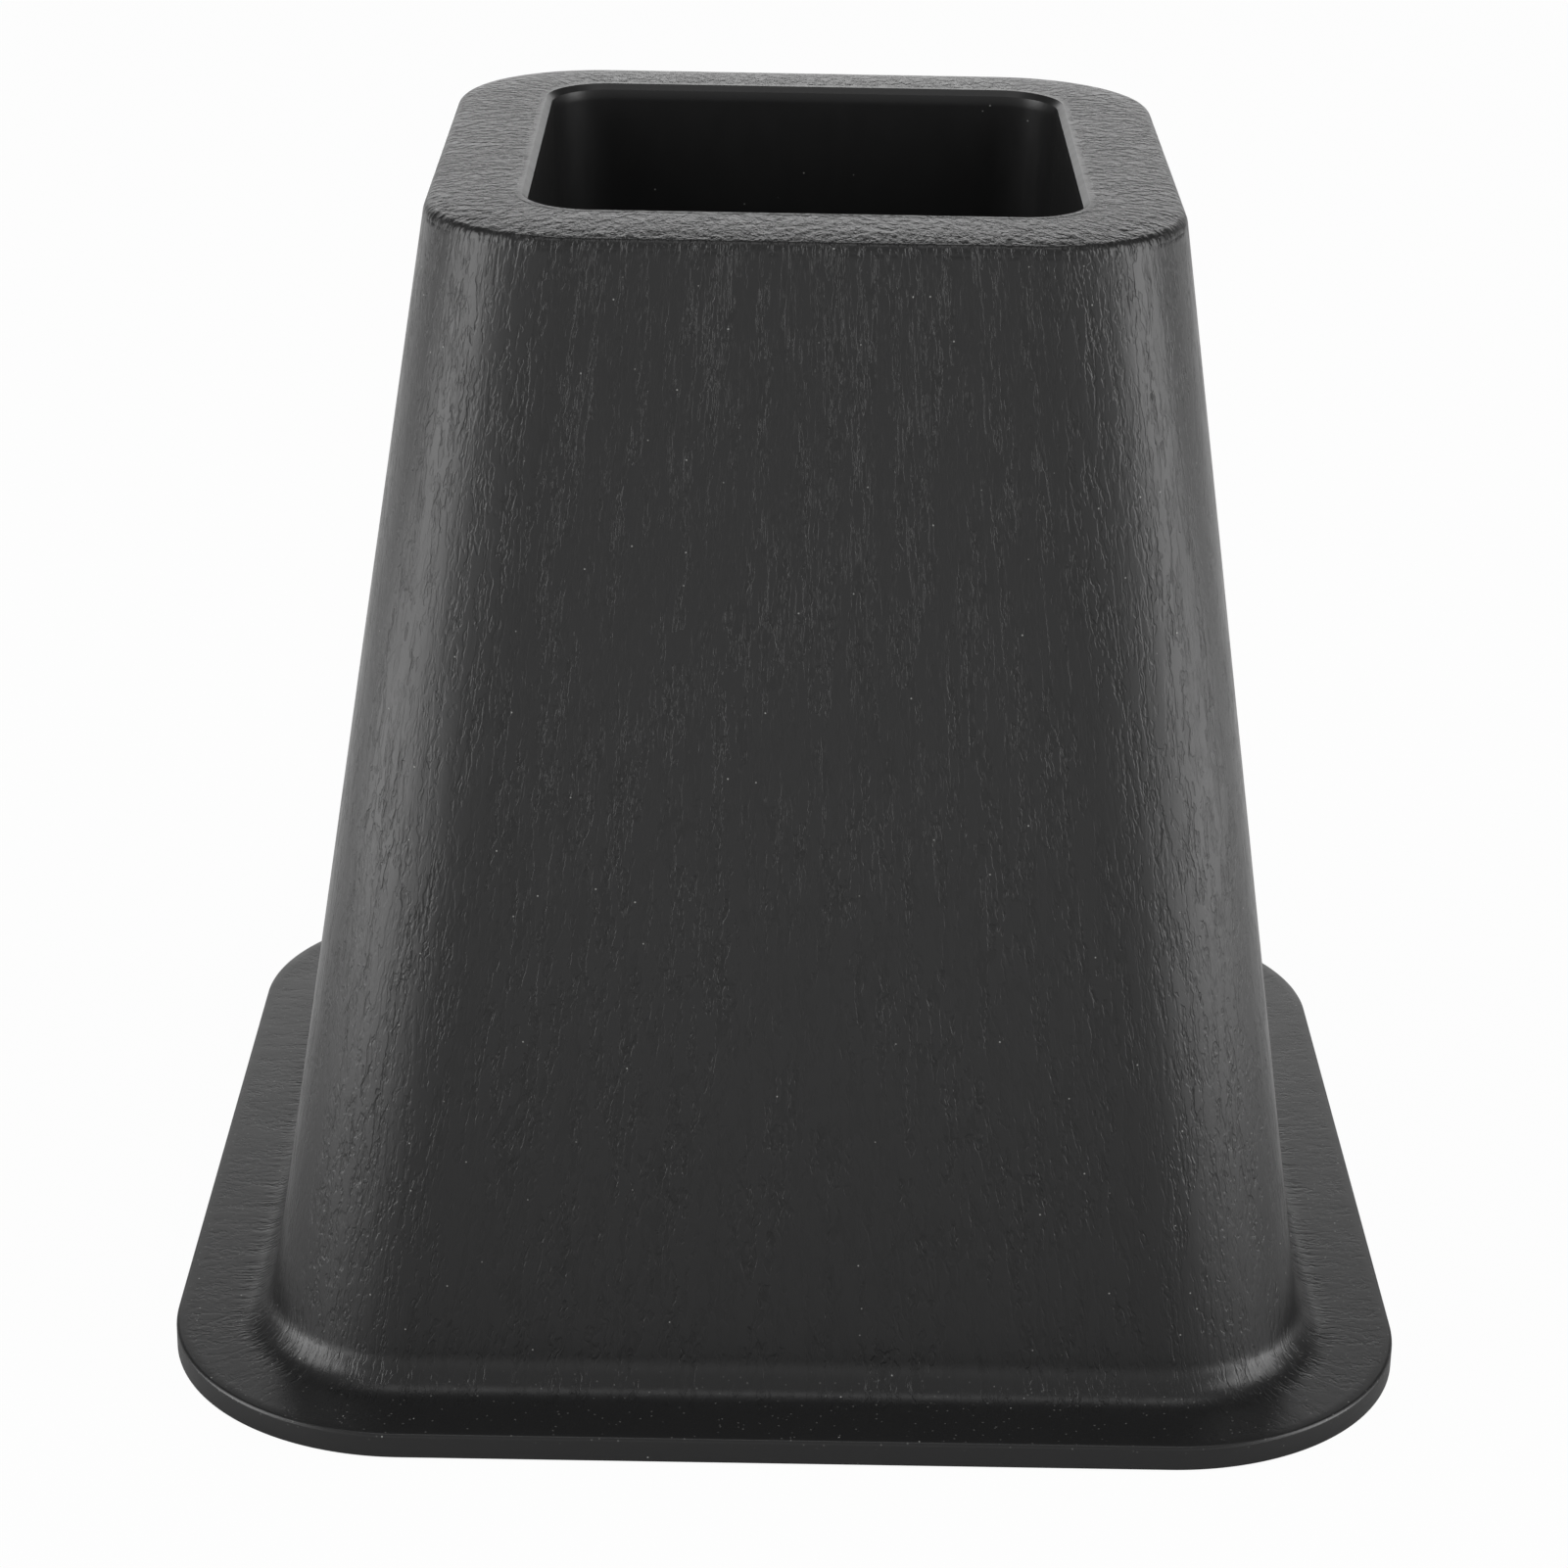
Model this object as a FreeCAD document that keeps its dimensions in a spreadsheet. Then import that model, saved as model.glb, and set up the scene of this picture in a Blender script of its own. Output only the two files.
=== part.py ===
"""Bed riser: a square, hollow, tapered stand moulded in one piece of black plastic.

A wide flange stands on the floor. Four sloping walls with rounded corners rise from it to a flat crown.
A square socket in the crown takes the foot of a bed or a sofa. The socket is the inside of a cup that
hangs from the crown, and short ribs tie the cup to the walls. The underside is open.

The widths are a chain from the inside out: the socket's mouth, then the crown's rim round it, then the
spread of the walls down to their foot, then the flange.

Frame: millimetres, +Z up, origin on the floor at the centre of the flange, front wall towards -Y.
"""

import FreeCAD
import Part
import Sketcher

import math
import os

# Driving dimensions: alias, value and what the value measures.
SIZES = [
    ("riser_height", 152.0, "floor to the top of the crown"),
    ("mouth_width", 70.0, "side of the square socket at its mouth"),
    ("mouth_corner", 8.0, "corner radius of the socket, seen from above"),
    ("mouth_round", 1.2, "rounding of the socket's mouth"),
    ("rim_width", 13.0, "flat rim from the socket's mouth to the outside of the crown"),
    ("crown_thick", 3.0, "thickness of the flat crown"),
    ("crown_round", 1.5, "rounding of the crown's outer edge"),
    ("foot_spread", 21.5, "how far each wall stands out at its foot, beyond the crown"),
    ("wall_corner", 20.0, "outer radius of the wall corners, seen from above"),
    ("wall_thick", 3.0, "thickness of the sloping walls, square to the wall"),
    ("inner_round", 2.0, "fillet inside, between the walls and the crown"),
    ("foot_fillet", 4.5, "hollow fillet between the walls and the flange"),
    ("flange_reach", 12.5, "how far the flange stands out from the foot of the walls"),
    ("flange_thick", 3.3, "thickness of the flange"),
    ("flange_round", 0.5, "rounding of the flange's top edge"),
    ("sole_round", 4.0, "rounding where the inside of the walls turns out to the sole"),
    ("socket_depth", 32.0, "crown to the seat that the furniture leg stands on"),
    ("socket_draft", 0.5, "how far each side of the socket draws in from mouth to seat"),
    ("seat_round", 2.0, "fillet round the seat"),
    ("seat_thick", 4.0, "thickness of the cup's floor"),
    ("cup_wall", 3.0, "thickness of the cup's walls"),
    ("cup_round", 2.0, "rounding round the cup's underside"),
    ("rib_thick", 2.5, "thickness of a rib"),
    ("rib_gap", 36.0, "distance between the middles of the two ribs of one side"),
    ("rib_setback", 5.0, "height of the ribs' lower edge above the cup's underside"),
]

# Derived sizes, as expressions on the sheet. Widths are measured right across.
CROWN_WIDTH = "(Sizes.mouth_width + 2 * Sizes.rim_width)"
FOOT_WIDTH = f"({CROWN_WIDTH} + 2 * Sizes.foot_spread)"
BASE_WIDTH = f"({FOOT_WIDTH} + 2 * Sizes.flange_reach)"
BASE_CORNER = "(Sizes.wall_corner + Sizes.flange_reach)"
INNER_CORNER = "(Sizes.wall_corner - Sizes.wall_thick)"
CUP_CORNER = "(Sizes.mouth_corner + Sizes.cup_wall)"
SEAT_WIDTH = "(Sizes.mouth_width - 2 * Sizes.socket_draft)"
SLOPE = "(Sizes.foot_spread / (Sizes.riser_height - Sizes.flange_thick))"
WALL_ACROSS = f"(Sizes.wall_thick * sqrt(1 + {SLOPE}^2))"

# Levels above the floor.
FLOOR = "0"
FLANGE_TOP = "Sizes.flange_thick"
CROWN_TOP = "Sizes.riser_height"
CEILING = "(Sizes.riser_height - Sizes.crown_thick)"
SEAT = "(Sizes.riser_height - Sizes.socket_depth)"
CUP_UNDERSIDE = f"({SEAT} - Sizes.seat_thick)"
RIB_EDGE = f"({CUP_UNDERSIDE} + Sizes.rib_setback)"
RIB_TOP = "(Sizes.riser_height - Sizes.crown_thick / 2)"

SIDES = 4
TOLERANCE = 1e-3


def outer_width(level):
    """Width over the sloping walls at a level, as an expression."""
    return f"({CROWN_WIDTH} + 2 * {SLOPE} * ({CROWN_TOP} - {level}))"


def inner_width(level):
    """Width between the insides of the sloping walls at a level, as an expression."""
    return f"({outer_width(level)} - 2 * {WALL_ACROSS})"


def cup_width(level):
    """Width over the cup's walls at a level, which draw in with the socket, as an expression."""
    draft = "(Sizes.socket_draft / Sizes.socket_depth)"
    return f"(Sizes.mouth_width - 2 * {draft} * ({CROWN_TOP} - {level}) + 2 * Sizes.cup_wall)"


def make_sheet(doc):
    """The spreadsheet of driving dimensions, one named cell each."""
    sheet = doc.addObject("Spreadsheet::Sheet", "Sizes")
    for row, (alias, value, meaning) in enumerate(SIZES, start=1):
        sheet.set(f"A{row}", meaning)
        sheet.set(f"B{row}", str(value))
        sheet.setAlias(f"B{row}", alias)
    doc.recompute()
    return sheet


def value_of(sheet, expression):
    """The number that an expression on the sheet gives."""
    return float(sheet.evalExpression(expression))


def origin_feature(body, role):
    """The body's own origin plane or axis with this role."""
    return next(feature for feature in body.Origin.OriginFeatures if feature.Role == role)


def new_sketch(body, name, plane, offset):
    """An empty sketch on one of the body's origin planes, moved along that plane's normal."""
    sketch = body.newObject("Sketcher::SketchObject", name)
    sketch.AttachmentSupport = [(origin_feature(body, plane), "")]
    sketch.MapMode = "FlatFace"
    sketch.setExpression("AttachmentOffset.Base.z", offset)
    return sketch


def bind(sketch, name, constraint, expression):
    """Adds a dimension to a sketch, names it and ties it to the sheet."""
    index = sketch.addConstraint(constraint)
    sketch.renameConstraint(index, name)
    sketch.setExpression(f"Constraints.{name}", expression)


def rounded_square(body, sheet, name, level, width, corner):
    """A square with round corners, centred on the Z axis at a level. All sizes are expressions."""
    half = value_of(sheet, width) / 2
    radius = value_of(sheet, corner)
    straight = half - radius
    quarter = math.pi / 2
    upward = FreeCAD.Vector(0, 0, 1)
    sketch = new_sketch(body, name, "XY_Plane", level)

    # Each side is a straight line along one edge, followed by the quarter arc at its far end.
    lines = []
    arcs = []
    for side in range(SIDES):
        turn = FreeCAD.Rotation(upward, 90 * side)
        start = turn.multVec(FreeCAD.Vector(-straight, -half, 0))
        end = turn.multVec(FreeCAD.Vector(straight, -half, 0))
        centre = turn.multVec(FreeCAD.Vector(straight, -straight, 0))
        arc = Part.ArcOfCircle(Part.Circle(centre, upward, radius), (side - 1) * quarter, side * quarter)
        lines.append(sketch.addGeometry(Part.LineSegment(start, end), False))
        arcs.append(sketch.addGeometry(arc, False))

    for side in range(SIDES):
        direction = "Horizontal" if side % 2 == 0 else "Vertical"
        next_line = lines[(side + 1) % SIDES]
        sketch.addConstraint(Sketcher.Constraint(direction, lines[side]))
        sketch.addConstraint(Sketcher.Constraint("Tangent", lines[side], 2, arcs[side], 1))
        sketch.addConstraint(Sketcher.Constraint("Tangent", arcs[side], 2, next_line, 1))
    for arc in arcs[1:]:
        sketch.addConstraint(Sketcher.Constraint("Equal", arcs[0], arc))

    half_width = f"{width} / 2"
    front, right, back, left = lines
    bind(sketch, "front", Sketcher.Constraint("DistanceY", front, 1, -1, 1, half), half_width)
    bind(sketch, "right", Sketcher.Constraint("DistanceX", -1, 1, right, 1, half), half_width)
    bind(sketch, "back", Sketcher.Constraint("DistanceY", -1, 1, back, 1, half), half_width)
    bind(sketch, "left", Sketcher.Constraint("DistanceX", left, 1, -1, 1, half), half_width)
    bind(sketch, "corner", Sketcher.Constraint("Radius", arcs[0], radius), corner)
    return sketch


def loft(body, kind, name, profile, section):
    """A straight loft between two rounded squares, added to the body or cut from it."""
    feature = body.newObject(f"PartDesign::{kind}Loft", name)
    feature.Profile = profile
    feature.Sections = [section]
    feature.Ruled = True
    body.Document.recompute()


def edges_round(feature, level, width):
    """Names of the edges of a rounded square of this width that lie at this level."""
    found = []
    for number, edge in enumerate(feature.Shape.Edges, start=1):
        box = edge.BoundBox
        reach = max(abs(box.XMin), abs(box.XMax), abs(box.YMin), abs(box.YMax))
        flat = abs(box.ZMin - level) < TOLERANCE and abs(box.ZMax - level) < TOLERANCE
        if flat and abs(reach - width / 2) < TOLERANCE:
            found.append(f"Edge{number}")
    return found


def fillet(body, sheet, name, level, width, radius):
    """Rounds the ring of edges of a rounded square of this width at this level."""
    base = body.Tip
    edges = edges_round(base, value_of(sheet, level), value_of(sheet, width))
    if not edges:
        raise RuntimeError(f"{name} found no edges")
    feature = body.newObject("PartDesign::Fillet", name)
    feature.Base = (base, edges)
    feature.setExpression("Radius", radius)
    body.Document.recompute()


def add_flange_and_walls(body, sheet):
    """The outside: a flat flange, four sloping walls and the roundings that show."""
    flange = body.newObject("PartDesign::Pad", "flange")
    flange.Profile = rounded_square(body, sheet, "flange_outline", FLOOR, BASE_WIDTH, BASE_CORNER)
    flange.setExpression("Length", "Sizes.flange_thick")
    body.Document.recompute()

    foot = rounded_square(body, sheet, "wall_foot", FLANGE_TOP, FOOT_WIDTH, "Sizes.wall_corner")
    top = rounded_square(body, sheet, "wall_top", CROWN_TOP, CROWN_WIDTH, "Sizes.wall_corner")
    loft(body, "Additive", "walls", foot, top)
    fillet(body, sheet, "foot_fillet", FLANGE_TOP, FOOT_WIDTH, "Sizes.foot_fillet")
    fillet(body, sheet, "crown_round", CROWN_TOP, CROWN_WIDTH, "Sizes.crown_round")
    fillet(body, sheet, "flange_round", FLANGE_TOP, BASE_WIDTH, "Sizes.flange_round")


def cut_hollow(body, sheet):
    """The open underside, which leaves walls of even thickness and the flat crown."""
    bottom = rounded_square(body, sheet, "hollow_bottom", FLOOR, inner_width(FLOOR), INNER_CORNER)
    ceiling = rounded_square(body, sheet, "hollow_ceiling", CEILING, inner_width(CEILING), INNER_CORNER)
    loft(body, "Subtractive", "hollow", bottom, ceiling)
    fillet(body, sheet, "sole_round", FLOOR, inner_width(FLOOR), "Sizes.sole_round")
    fillet(body, sheet, "inner_round", CEILING, inner_width(CEILING), "Sizes.inner_round")


def add_cup(body, sheet):
    """The cup that hangs from the crown, and the socket that opens it at the top."""
    top = rounded_square(body, sheet, "cup_top", CEILING, cup_width(CEILING), CUP_CORNER)
    underside = rounded_square(
        body, sheet, "cup_underside", CUP_UNDERSIDE, cup_width(CUP_UNDERSIDE), CUP_CORNER
    )
    loft(body, "Additive", "cup", top, underside)
    fillet(body, sheet, "cup_round", CUP_UNDERSIDE, cup_width(CUP_UNDERSIDE), "Sizes.cup_round")

    mouth = rounded_square(
        body, sheet, "socket_mouth", CROWN_TOP, "Sizes.mouth_width", "Sizes.mouth_corner"
    )
    seat = rounded_square(body, sheet, "socket_seat", SEAT, SEAT_WIDTH, "Sizes.mouth_corner")
    loft(body, "Subtractive", "socket", mouth, seat)
    fillet(body, sheet, "mouth_round", CROWN_TOP, "Sizes.mouth_width", "Sizes.mouth_round")
    fillet(body, sheet, "seat_round", SEAT, SEAT_WIDTH, "Sizes.seat_round")


def in_cup_wall(level):
    """Distance from the axis to the middle of the cup's wall at a level, as an expression."""
    return f"({cup_width(level)} / 2 - Sizes.cup_wall / 2)"


def in_sloping_wall(level):
    """Distance from the axis to the middle of the sloping wall at a level, as an expression."""
    return f"({outer_width(level)} / 2 - {WALL_ACROSS} / 2)"


def rib_outline(body, sheet, name, offset):
    """A rib's side view: it runs from the middle of the cup's wall to the middle of the sloping wall."""
    sketch = new_sketch(body, name, "XZ_Plane", offset)
    corners = [
        (in_cup_wall(RIB_EDGE), RIB_EDGE),
        (in_sloping_wall(RIB_EDGE), RIB_EDGE),
        (in_sloping_wall(RIB_TOP), RIB_TOP),
        (in_cup_wall(RIB_TOP), RIB_TOP),
    ]
    points = [FreeCAD.Vector(value_of(sheet, across), value_of(sheet, up), 0) for across, up in corners]
    for point, next_point in zip(points, points[1:] + points[:1]):
        sketch.addGeometry(Part.LineSegment(point, next_point), False)
    for number, (across, up) in enumerate(corners):
        next_number = (number + 1) % len(corners)
        point = points[number]
        sketch.addConstraint(Sketcher.Constraint("Coincident", number, 2, next_number, 1))
        bind(sketch, f"across{number}", Sketcher.Constraint("DistanceX", -1, 1, number, 1, point.x), across)
        bind(sketch, f"up{number}", Sketcher.Constraint("DistanceY", -1, 1, number, 1, point.y), up)
    return sketch


def add_ribs(body, sheet):
    """Two upright ribs on each side, which tie the cup to the sloping walls."""
    ribs = []
    for name, offset in (("rib_left", "-Sizes.rib_gap / 2"), ("rib_right", "Sizes.rib_gap / 2")):
        rib = body.newObject("PartDesign::Pad", name)
        rib.Profile = rib_outline(body, sheet, f"{name}_outline", offset)
        rib.Midplane = True
        rib.setExpression("Length", "Sizes.rib_thick")
        body.Document.recompute()
        ribs.append(rib)
    pattern = body.newObject("PartDesign::PolarPattern", "ribs_round")
    pattern.Originals = ribs
    pattern.Axis = (origin_feature(body, "Z_Axis"), [""])
    pattern.Angle = 360
    pattern.Occurrences = SIDES
    body.Tip = pattern
    body.Document.recompute()


def check(doc, shape):
    """Stops the script if a feature failed or the moulding isn't one sound solid."""
    for thing in doc.Objects:
        if "Invalid" in thing.State or "Error" in thing.State:
            raise RuntimeError(f"{thing.Name} failed: {thing.State}")
    if shape.isNull() or not shape.isValid() or len(shape.Solids) != 1:
        raise RuntimeError("the moulding is not one valid solid")


def main():
    doc = FreeCAD.newDocument("bed_riser")
    sheet = make_sheet(doc)
    body = doc.addObject("PartDesign::Body", "bed_riser")
    body.Label = "bed_riser"
    add_flange_and_walls(body, sheet)
    cut_hollow(body, sheet)
    add_cup(body, sheet)
    add_ribs(body, sheet)
    doc.recompute()
    check(doc, body.Shape)

    os.makedirs("parts", exist_ok=True)
    body.Shape.exportStep(f"parts/{body.Label}.step")
    box = body.Shape.optimalBoundingBox(False, False)
    print(f"{body.Label}: {box.XLength:.2f} x {box.YLength:.2f} x {box.ZLength:.2f} mm")
    print(f"volume {body.Shape.Volume / 1000:.1f} cm3, {len(body.Shape.Faces)} faces")


main()
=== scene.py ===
# %% [markdown]
# # A bed riser, moulded in one piece of black plastic
#
# The riser is a square, hollow, tapered stand with a floor flange and a socket on top for a bed leg. Its
# walls, rim and flange carry a moulded wood grain. It could be modelled by hand from a box, with loop cuts
# and bevels, but then its size would only be as good as the hand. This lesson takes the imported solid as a
# fixed frame, works out one closed surface of the same size with the grain in it, and then gives it a finish,
# a stage and a camera.

# %% The frame
import math

import bpy
import numpy as np
from mathutils import Matrix, Vector


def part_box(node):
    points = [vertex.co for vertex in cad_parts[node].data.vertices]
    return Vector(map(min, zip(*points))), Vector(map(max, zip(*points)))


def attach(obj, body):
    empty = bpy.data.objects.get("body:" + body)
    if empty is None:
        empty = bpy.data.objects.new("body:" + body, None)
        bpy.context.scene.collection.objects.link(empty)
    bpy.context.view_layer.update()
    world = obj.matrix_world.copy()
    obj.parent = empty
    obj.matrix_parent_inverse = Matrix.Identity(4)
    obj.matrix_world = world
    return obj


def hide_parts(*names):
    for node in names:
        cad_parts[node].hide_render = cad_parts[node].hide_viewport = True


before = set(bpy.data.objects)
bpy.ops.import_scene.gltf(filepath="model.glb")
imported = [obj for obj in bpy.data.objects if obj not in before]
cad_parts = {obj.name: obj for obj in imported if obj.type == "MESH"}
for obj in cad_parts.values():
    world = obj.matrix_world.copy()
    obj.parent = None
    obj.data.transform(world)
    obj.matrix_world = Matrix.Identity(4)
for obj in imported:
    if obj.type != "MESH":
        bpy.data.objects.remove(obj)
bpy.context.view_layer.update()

# %% [markdown]
# ## Sizes
#
# Everything is worked out in millimetres and turned into metres at the end. The overall width and height come
# from the solid, so the surface can't drift from it. The other values are the moulding's own sizes. The walls
# lean in by the same amount on all four sides, which gives one slope and one lean angle. Two small forms are
# finer here than in the solid: the socket's mouth has a narrow chamfer, and the rim rolls down by about half
# a millimetre towards its outer edge.

# %% Sizes of the moulding
MM = 0.001
low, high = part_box("bed_riser")
base_half = (high.x - low.x) / MM / 2
riser_height = high.z / MM

flange_reach, flange_thick, flange_round = 12.5, 3.3, 0.5
foot_spread, foot_fillet, sole_round = 21.5, 4.5, 4.0
rim_width, crown_thick, crown_round, inner_round = 13.0, 3.0, 1.5, 2.0
wall_corner, wall_thick = 20.0, 3.0
mouth_corner, mouth_ease, lip_width, rim_fall = 8.0, 0.15, 0.75, 0.55
socket_depth, socket_draft, seat_round, seat_thick = 32.0, 0.5, 2.0, 4.0
cup_wall, cup_round = 3.0, 2.0
rib_thick, rib_gap, rib_setback, rib_draft = 2.5, 36.0, 5.0, 0.3

foot_half = base_half - flange_reach
crown_half = foot_half - foot_spread
mouth_half = crown_half - rim_width
slope = foot_spread / (riser_height - flange_thick)
lean = math.atan(slope)
wall_across = wall_thick / math.cos(lean)
print(f"base {2 * base_half:.1f}, crown {2 * crown_half:.1f}, mouth {2 * mouth_half:.1f} mm,"
      f" walls lean {math.degrees(lean):.2f} degrees")

# %% [markdown]
# ## The section, walked round once
#
# Cut the riser through the middle and its section is one closed line: from the middle of the socket's seat,
# up the socket, over the rim, down the outside, under the flange, up the inside and back to the middle under
# the cup. The riser could also be joined from a tapered box and a cup with Boolean modifiers, but one line
# gives one closed surface, with each rounding where it belongs. Each point of the line has three numbers: the
# half width of the moulding there, the distance of the corner centres from the axis, and the height. A
# rounded square with those two widths, set at that height, is one ring of the surface. Straight runs and
# round edges are added one after the other.

# %% The section's runs
section = []


def run(name, half_widths, corner_centres, heights):
    """Adds one stretch of the section: three arrays of the same length, from its first point to its last."""
    section.append((name, np.broadcast_arrays(half_widths, corner_centres, heights)))


def steps(start, end, count):
    """Evenly spaced values from start to end, both included."""
    return np.linspace(start, end, count)


def corner_centre_outside(height):
    """Corner centres of the outer walls: on a straight line that leans in with the wall."""
    return crown_half - wall_corner + slope * (riser_height - height)


def corner_centre_inside(height):
    """Corner centres of the inner walls, which have a radius smaller by the wall's thickness."""
    return inner_half(height) - (wall_corner - wall_thick)


def outer_half(height):
    """Half width over the walls at a height."""
    return crown_half + slope * (riser_height - height)


def inner_half(height):
    """Half width between the insides of the walls at a height."""
    return outer_half(height) - wall_across


def socket_half(height):
    """Half width of the drafted socket at a height."""
    return mouth_half - socket_draft * (riser_height - height) / socket_depth


def tangent_length(radius):
    """How far a rounding of this radius reaches along a flat and a leaning face that meet."""
    return radius * math.tan((math.pi / 2 - lean) / 2)


# %% The socket, from the middle of its seat up to its mouth
seat = riser_height - socket_depth
seat_half = socket_half(seat)
seat_flat = seat_half - seat_round
seat_centre = seat_half - mouth_corner
quarter = steps(0, math.pi / 2, 6)

share = steps(0, 1, 4)[1:]
run("seat", seat_flat * share, seat_centre * share, seat)
run("seat fillet", seat_flat + seat_round * np.sin(quarter), seat_centre,
    seat + seat_round * (1 - np.cos(quarter)))
socket_top = riser_height - lip_width
ROWS_BELOW_LIP = (1.5, 1.0)
lower_row, upper_row = (socket_top - distance for distance in ROWS_BELOW_LIP)
socket_levels = np.append(steps(seat + seat_round, lower_row, 5), upper_row)
run("socket wall", socket_half(socket_levels), socket_half(socket_levels) - mouth_corner, socket_levels)
rim_start = mouth_half + mouth_ease + lip_width
mouth_centre = mouth_half - mouth_corner
run("lip", steps(mouth_half + mouth_ease, rim_start, 3), mouth_centre, steps(socket_top, riser_height, 3))
print(f"socket: {2 * mouth_half:.1f} mm wide at the mouth, its seat {seat:.1f} mm above the floor")

# %% The rim and the outside, down to the floor
crown_centre = crown_half - wall_corner
# The rim falls with the cube of the way across it, so it starts flat and tilts most at its outer edge.
RIM_POWER = 3
rim_tilt = math.atan(RIM_POWER * rim_fall / (crown_half - crown_round - rim_start))
turn = steps(rim_tilt, math.pi / 2 - lean, 7)
crown_levels = riser_height - rim_fall - crown_round * (np.cos(rim_tilt) - np.cos(turn))
crown_halves = outer_half(crown_levels[-1]) - crown_round * (np.sin(turn[-1]) - np.sin(turn))
rim_edge = crown_halves[0]
rim = steps(rim_start, rim_edge, 12)
rim_share = (rim - rim_start) / (rim_edge - rim_start)
run("rim", rim, mouth_centre + (crown_centre - mouth_centre) * rim_share,
    riser_height - rim_fall * rim_share ** RIM_POWER)
run("crown edge", crown_halves, corner_centre_outside(crown_levels), crown_levels)

turn = steps(lean, math.pi / 2, 10)
fillet_levels = flange_thick + foot_fillet * (1 - np.sin(turn))
WALL_ROWS, ROW_BELOW_CROWN, ROW_ABOVE_FILLET = 44, 0.6, 0.4
wall_middle = steps(crown_levels[-1] - ROW_BELOW_CROWN, fillet_levels[0] + ROW_ABOVE_FILLET, WALL_ROWS)
wall_levels = np.concatenate([crown_levels[-1:], wall_middle, fillet_levels[:1]])
run("wall", outer_half(wall_levels), corner_centre_outside(wall_levels), wall_levels)
fillet_halves = foot_half + tangent_length(foot_fillet) - foot_fillet * np.cos(turn)
run("foot fillet", fillet_halves, corner_centre_outside(fillet_levels), fillet_levels)

foot_centre = foot_half - wall_corner
edge_half = base_half - flange_round
turn = steps(0, math.pi / 2, 5)
run("flange", steps(fillet_halves[-1], edge_half, 7), foot_centre, flange_thick)
run("flange edge", edge_half + flange_round * np.sin(turn), foot_centre,
    flange_thick - flange_round * (1 - np.cos(turn)))
print(f"outside: walls from {crown_levels[-1]:.1f} down to {fillet_levels[0]:.1f} mm, then fillet and flange")

# %% The sole, the inside and the cup
sole_half = inner_half(0) + tangent_length(sole_round)
turn = steps(0, math.pi / 2 - lean, 5)
sole_levels = sole_round * (1 - np.cos(turn))
run("sole", steps(base_half, sole_half, 3), steps(foot_centre, corner_centre_inside(0), 3), 0.0)
run("sole round", sole_half - sole_round * np.sin(turn), corner_centre_inside(sole_levels), sole_levels)

ceiling = riser_height - crown_thick
cup_underside = seat - seat_thick
rib_edge = cup_underside + rib_setback
ceiling_half = inner_half(ceiling) - tangent_length(inner_round)
turn = steps(lean, math.pi / 2, 4)
ceiling_levels = ceiling - inner_round * (1 - np.sin(turn))
inner_levels = np.append(steps(sole_levels[-1], rib_edge, 4), ceiling_levels[0])
run("inside", inner_half(inner_levels), corner_centre_inside(inner_levels), inner_levels)
run("inside fillet", ceiling_half + inner_round * np.cos(turn), corner_centre_inside(ceiling_levels),
    ceiling_levels)

cup_levels = np.array([ceiling, rib_edge, cup_underside + cup_round])
cup_half = socket_half(cup_levels) + cup_wall
cup_centre = socket_half(cup_levels) - mouth_corner
run("cup", cup_half, cup_centre, cup_levels)
turn = steps(0, math.pi / 2, 4)
under_half = cup_half[-1] - cup_round
run("cup round", under_half + cup_round * np.cos(turn), cup_centre[-1],
    cup_underside + cup_round * (1 - np.sin(turn)))
share = steps(1, 0, 4)[:-1]
run("cup underside", under_half * share, cup_centre[-1] * share, cup_underside)
print(f"hollow: {ceiling:.1f} mm high, the cup's underside {cup_underside:.1f} mm above the floor")

# %% One line from all the runs
half, centre, level = (np.concatenate([arrays[k] for _, arrays in section]) for k in range(3))
run_name = np.concatenate([[name] * len(arrays[0]) for name, arrays in section])
TINY = 1e-6
step_length = np.hypot(np.diff(half), np.diff(level))
keep = np.append(True, step_length > TINY)
half, centre, level, run_name = half[keep], centre[keep], level[keep], run_name[keep]
along = np.append(0.0, np.cumsum(np.hypot(np.diff(half), np.diff(level))))
along -= along[run_name == "crown edge"][0]
print(f"section: {len(half)} points, {along[-1] - along[0]:.0f} mm long")

# %% [markdown]
# ## Columns round the moulding
#
# Round the moulding, each side is a straight stretch and a quarter turn. On the straight stretch a column
# keeps its share of the width, so columns fan out towards the foot as a real grain does on a tapered wall.
# In the hollow, two upright ribs on each side tie the cup to the wall. They could be boxes of their own, but
# ribs that grow out of the same surface leave no hidden faces. So the columns in the hollow are set in
# millimetres, and some of them run exactly along the ribs' faces.

# %% Columns of one side
FACE_STEPS, CORNER_STEPS, SIDES = 140, 52, 4
CLOSEST_STEP = 0.4
rib_lines = np.array([side * (rib_gap / 2 + edge * (rib_thick / 2 + draft))
                      for side in (-1, 1) for edge in (-1, 1) for draft in (0.0, rib_draft)])
hollow_middle = 21.0
middle_share = hollow_middle / cup_centre[-1]

even = steps(-1, 1, FACE_STEPS + 1)
rib_share = rib_lines / hollow_middle * middle_share
far_from_ribs = np.abs(even[:, None] - rib_share).min(axis=1) > CLOSEST_STEP / FACE_STEPS
face_share = np.sort(np.concatenate([even[far_from_ribs], rib_share]))
corner_angle = steps(0, math.pi / 2, CORNER_STEPS + 1)[1:-1]
columns = SIDES * (len(face_share) + len(corner_angle))
print(f"{columns} columns by {len(half)} rows, about {2 * columns * len(half)} triangles")


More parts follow.
